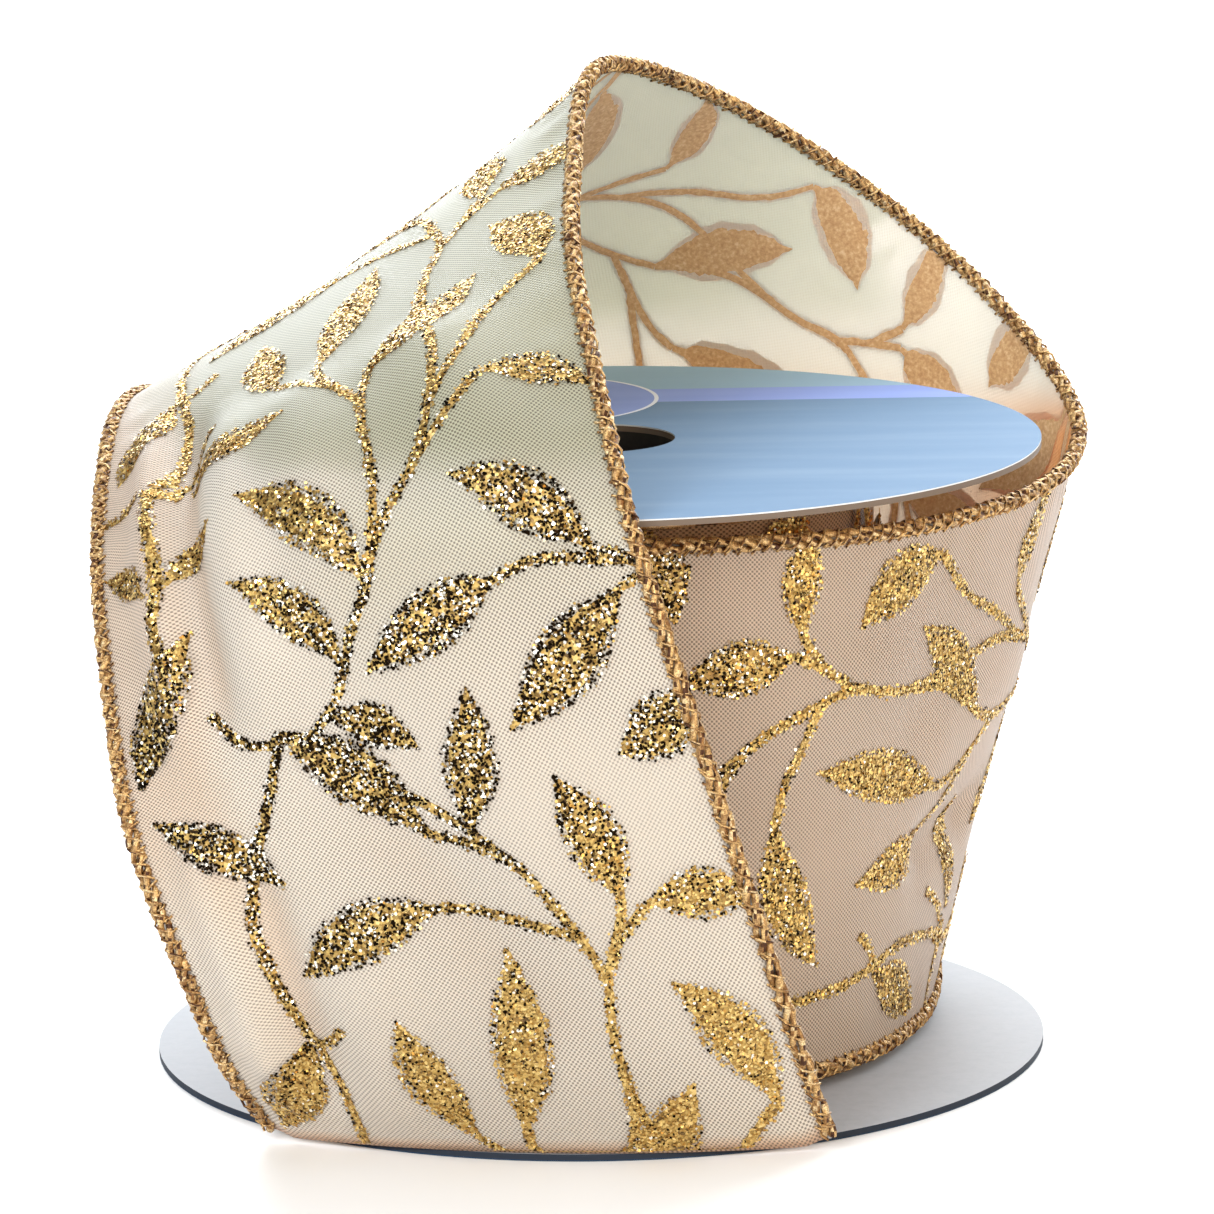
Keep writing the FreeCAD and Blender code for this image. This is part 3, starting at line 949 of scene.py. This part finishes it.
def tinsel_colours(count):
    """Thread tones from brown to light gold, with painted dark specks of shade and painted white glints
    among them.
    """
    draw = rng.random(count)
    tone = rng.random(count)[:, None]
    thread_colour = (1 - tone) * np.array([0.34, 0.21, 0.11]) + tone * np.array([1.0, 0.90, 0.66])
    glint = np.array([1.0, 1.0, 0.92])
    dark = np.array([0.10, 0.045, 0.02])
    colours = np.where((draw > 0.88)[:, None], glint, thread_colour)
    return np.where((draw < 0.14)[:, None], dark, colours)


# ------------------------ the loose ribbon
# Where painted shade is laid on the cloth, in mm on the flat ribbon.
FRINGE = 0.5                  # of the painted flange shade, in a band of painted shade below the flange's rim on the hanging panel
FRINGE_LINE = 68.0            # from the cut end
FRINGE_HALF = 11.0
WRAP_START = 235.0            # from the cut end, where the ribbon closes round the roll again
WRAP_FADE = 25.0
HANGING = 0.25                # of the painted warm shade on the inner face, before the ribbon closes round the roll
VALLEY = 0.36                 # of the painted warm shade, in the valleys of the folds
BACKED = 0.38                 # of the same, where the wound roll lies close inside the cloth
TURNED_AWAY = 0.34            # of the same, along the lower edge where it turns from the light
CUT_END = 2.0                 # of cloth at the cut end that carries some of it too
# Where the flakes carry more painted glints and painted dark reflections, in mm on the flat ribbon.
STARK_LINE = 40.0             # from the cut end to the middle of the band, at the lower edge
STARK_SLANT = 0.3
STARK_HALF = 24.0
LEAVING_LINE = 337.0          # from the cut end to where the ribbon leaves the roll
LEAVING_HALF = 11.0


def flat_places(sheet):
    """Each point's distance from the cut end and from the lower edge, in mm."""
    rows, columns = sheet.points.shape[:2]
    return np.linspace(0, sheet.length, rows)[:, None], np.linspace(0, sheet.width, columns)[None, :]


def painted_flange_shade_of(sheet):
    """How much painted shade each point of the cloth takes, from 0 to 1: the shadowed blue flange seen
    through it, and a band below the flange's rim.
    """
    drop = (sheet.points[..., 2] - FLANGE_TOP) / np.maximum(sheet.normals[..., 2], 0.05)
    foot = sheet.points - sheet.normals * drop[..., None]
    inside = smooth_step((FLANGE_R - np.hypot(foot[..., 0], foot[..., 1])) / (4 * MM))
    above = smooth_step((sheet.points[..., 2] - FLANGE_TOP) / (9 * MM))
    facing = smooth_step(sheet.normals[..., 2] / 0.3)
    x, y = flat_places(sheet)
    below_the_rim = np.exp(-((x - FRINGE_LINE) / FRINGE_HALF) ** 2) * smooth_step((y - 22) / 14)
    return np.maximum(inside * above * facing, FRINGE * below_the_rim)


def painted_warm_shade(sheet):
    """The share of painted warm shade and bounce light over the sheet, from 0 to 1: on its outer face and
    on its inner face.
    """
    low = smooth_step((FLANGE_TOP + 1 * MM - sheet.points[..., 2]) / (7 * MM))
    x, y = flat_places(sheet)
    wrapping = HANGING + (1 - HANGING) * smooth_step((x - WRAP_START) / WRAP_FADE)
    valley = VALLEY * smooth_step(-sheet.fold / 2.0)
    cut_end = smooth_step((CUT_END - x) / CUT_END)
    backed = BACKED * smooth_step((x - WRAP_START - WRAP_FADE) / WRAP_FADE)
    margin = TURNED_AWAY * smooth_step((14 - y) / 6) * smooth_step((x - 25) / 20)
    outer = np.maximum(np.maximum(valley, margin), np.maximum(cut_end, backed))
    return outer, np.maximum(low * wrapping, outer)


def painted_glint_band(flat):
    """More painted glints and painted dark reflections on the flakes, in a slanting band across the front
    and where the ribbon leaves the roll.
    """
    x, y = flat[:, 0], flat[:, 1]
    front = 1.3 * np.exp(-((x - STARK_LINE - STARK_SLANT * y) / STARK_HALF) ** 2)
    leaving = 0.8 * np.exp(-((x - LEAVING_LINE) / LEAVING_HALF) ** 2)
    return CALM + 0.90 * np.clip(front + leaving, 0, 1)


ribbon = free_length()
loose_cloth = cloth_piece("ribbon_cloth", ribbon, "loose_ribbon", [OUTER, REVERSE])
# Painted shade from the flange, on the outer face only.
painted_tint = painted_flange_shade_of(ribbon).ravel()
give_value(loose_cloth, "painted_flange_shade", np.concatenate([painted_tint, painted_tint * 0]))
# Painted warm shade and bounce light where the cloth lies against other cloth, in fold valleys, at its
# turned edges and inside under the flange top.
outer_painted_shade, inner_painted_shade = painted_warm_shade(ribbon)
give_value(loose_cloth, "painted_warm_shade", np.concatenate([outer_painted_shade.ravel(), inner_painted_shade.ravel()]))
lower_edge = edge_piece("ribbon_lower_overlock", ribbon, 0.0, "loose_ribbon", -1)
upper_edge = edge_piece("ribbon_upper_overlock", ribbon, WIDTH, "loose_ribbon", 1)
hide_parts("loose_cloth")
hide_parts("loose_lower_overlock")
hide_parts("loose_upper_overlock")
front_print = patches(
    "ribbon_print", ribbon, 0, ribbon.length, INK_LIFT, "loose_ribbon", INK, ragged=0.12, slim=0.92)
# The reverse patches are the ink through the cloth, together with painted shadow of the glitter.
back_print = patches(
    "ribbon_print_reverse", ribbon, 0, ribbon.length, STRUCK_LIFT, "loose_ribbon", STRUCK_AND_SHADOW,
    ragged=0.18, slim=0.95, spread=0.6)
glitter_places = scattered(0, ribbon.length, WIDTH, LOOSE_FLAKES)
for stretch, (start, end) in enumerate(((0, 118), (118, 236), (236, ribbon.length))):
    within = glitter_places[(glitter_places[:, 0] >= start) & (glitter_places[:, 0] < end)]
    stretch_name = "ribbon_glitter_%d" % (stretch + 1)
    flakes(stretch_name, ribbon, within, 0, "loose_ribbon", painted_glint_band)

# ------------------------ the wound ribbon
TURNS = 21
TURN_STEPS = 72
SPIRAL_START = -2.0           # radians
PRINT_START = 360.0           # mm from the ribbon's cut end to where the print on the roll is taken from


def spiral(inner, outer):
    """The wound ribbon's plan, from its inner radius to its outer one."""
    steps = TURNS * TURN_STEPS + 1
    angle = np.linspace(0, 2 * math.pi * TURNS, steps) + SPIRAL_START
    radius = np.linspace(inner, outer, steps)
    return np.stack([radius * np.cos(angle), radius * np.sin(angle)], axis=-1)


def wound_edge(name, z):
    """The stack of overlocked edges, one turn outside the next."""
    pitch = (ROLL_R - ROLL_CORE_R) / TURNS
    ring = spiral(ROLL_CORE_R + pitch, ROLL_R)
    step = np.arange(len(ring))
    centre = np.column_stack([ring, z + 0.10 * MM * np.sin(step * 1.9)])
    outward = np.column_stack([ring, np.zeros(len(ring))])
    thick = 0.52 * pitch * (1 + 0.10 * np.sin(step * 2.4)) + rng.normal(0, 0.012, len(ring)) * MM
    points, faces = tube(centre, outward, thick, 8)
    piece = new_piece(name, points, faces, "spool", [WOUND_EDGE])
    give_colour(piece, "flake", tinsel_colours(len(piece.data.polygons)))
    return piece


wound_plan = spiral(ROLL_CORE_R, ROLL_R)
wound = standing_sheet(wound_plan, travelled(wound_plan)[-1], 9)
roll_cloth = cloth_piece("roll_ribbon", wound, "spool", [OUTER, REVERSE])
# The whole wound roll carries the full painted warm shade.
give_value(roll_cloth, "painted_warm_shade", np.ones(len(roll_cloth.data.vertices)))
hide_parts("roll_cloth")
roll_low = wound_edge("roll_lower_overlock", ROLL_LOW)
roll_high = wound_edge("roll_upper_overlock", ROLL_LOW + EDGE_TO_EDGE)
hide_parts("roll_lower_wired_edge")
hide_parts("roll_upper_wired_edge")
last_turn = outermost_turn()
PRINT_END = PRINT_START + last_turn.length
roll_print = patches(
    "roll_print", last_turn, PRINT_START, PRINT_END, INK_LIFT, "spool", INK, ragged=0.12, slim=0.92)
roll_places = scattered(PRINT_START, PRINT_END, WIDTH, WOUND_FLAKES)
roll_flakes = flakes(
    "roll_glitter", last_turn, roll_places, PRINT_START, "spool", lambda flat: np.full(len(flat), CALM))


# ------------------------ floor and light
def floor():
    """A white floor, 8 m square, that isn't part of the object."""
    size, steps = 4.0, 24
    line = np.linspace(-size, size, steps)
    x, y = np.meshgrid(line, line, indexing="ij")
    points = np.stack([x, y, np.zeros_like(x)], axis=-1).reshape(-1, 3)
    mesh = bpy.data.meshes.new("floor")
    mesh.from_pydata([tuple(p) for p in points], [], grid_faces(steps, steps, 0, True).tolist())
    material, tree, shader = new_material("studio_floor", Roughness=0.6)
    cloud = noise(tree, place_of(tree), 3.0, 2.0)
    white = ramp(tree, cloud, (0.3, (0.90, 0.90, 0.90)), (0.7, (0.92, 0.92, 0.92)))
    feed(tree, white, shader.inputs["Base Color"])
    mesh.materials.append(material)
    piece = bpy.data.objects.new("floor", mesh)
    bpy.context.scene.collection.objects.link(piece)


def area_light(name, place, target, size, watts, colour=(1, 1, 1)):
    """A softbox at place that faces target."""
    data = bpy.data.lights.new(name, "AREA")
    data.shape = "RECTANGLE"
    data.size, data.size_y = size
    data.energy = watts
    data.color = colour
    lamp = bpy.data.objects.new(name, data)
    bpy.context.scene.collection.objects.link(lamp)
    lamp.location = place
    lamp.rotation_euler = (Vector(target) - Vector(place)).to_track_quat("-Z", "Y").to_euler()


WARM = (1.0, 0.75, 0.47)
COOL = (0.91, 0.96, 1.0)

floor()
area_light("key_light", (-0.75, -1.05, 0.95), (0, 0, 0.05), (0.6, 0.6), 14.5, COOL)
area_light("front_light", (-0.05, -1.45, 0.75), (0, 0, 0.06), (1.1, 0.5), 5.0)
area_light("fill_light", (0.85, -1.0, 0.45), (0, 0, 0.06), (0.7, 0.7), 7.2, WARM)
area_light("top_light", (0.1, 0.2, 1.5), (0, 0, 0.05), (1.1, 1.1), 5.0)
area_light("back_light", (0.2, 1.2, 0.75), (0, 0, 0.06), (1.9, 1.5), 50.0, COOL)

world = bpy.data.worlds.new("studio")
world.use_nodes = True
world.node_tree.nodes["Background"].inputs["Color"].default_value = (1, 1, 1, 1)
world.node_tree.nodes["Background"].inputs["Strength"].default_value = 0.44
bpy.context.scene.world = world
bpy.context.scene.view_settings.view_transform = "Standard"
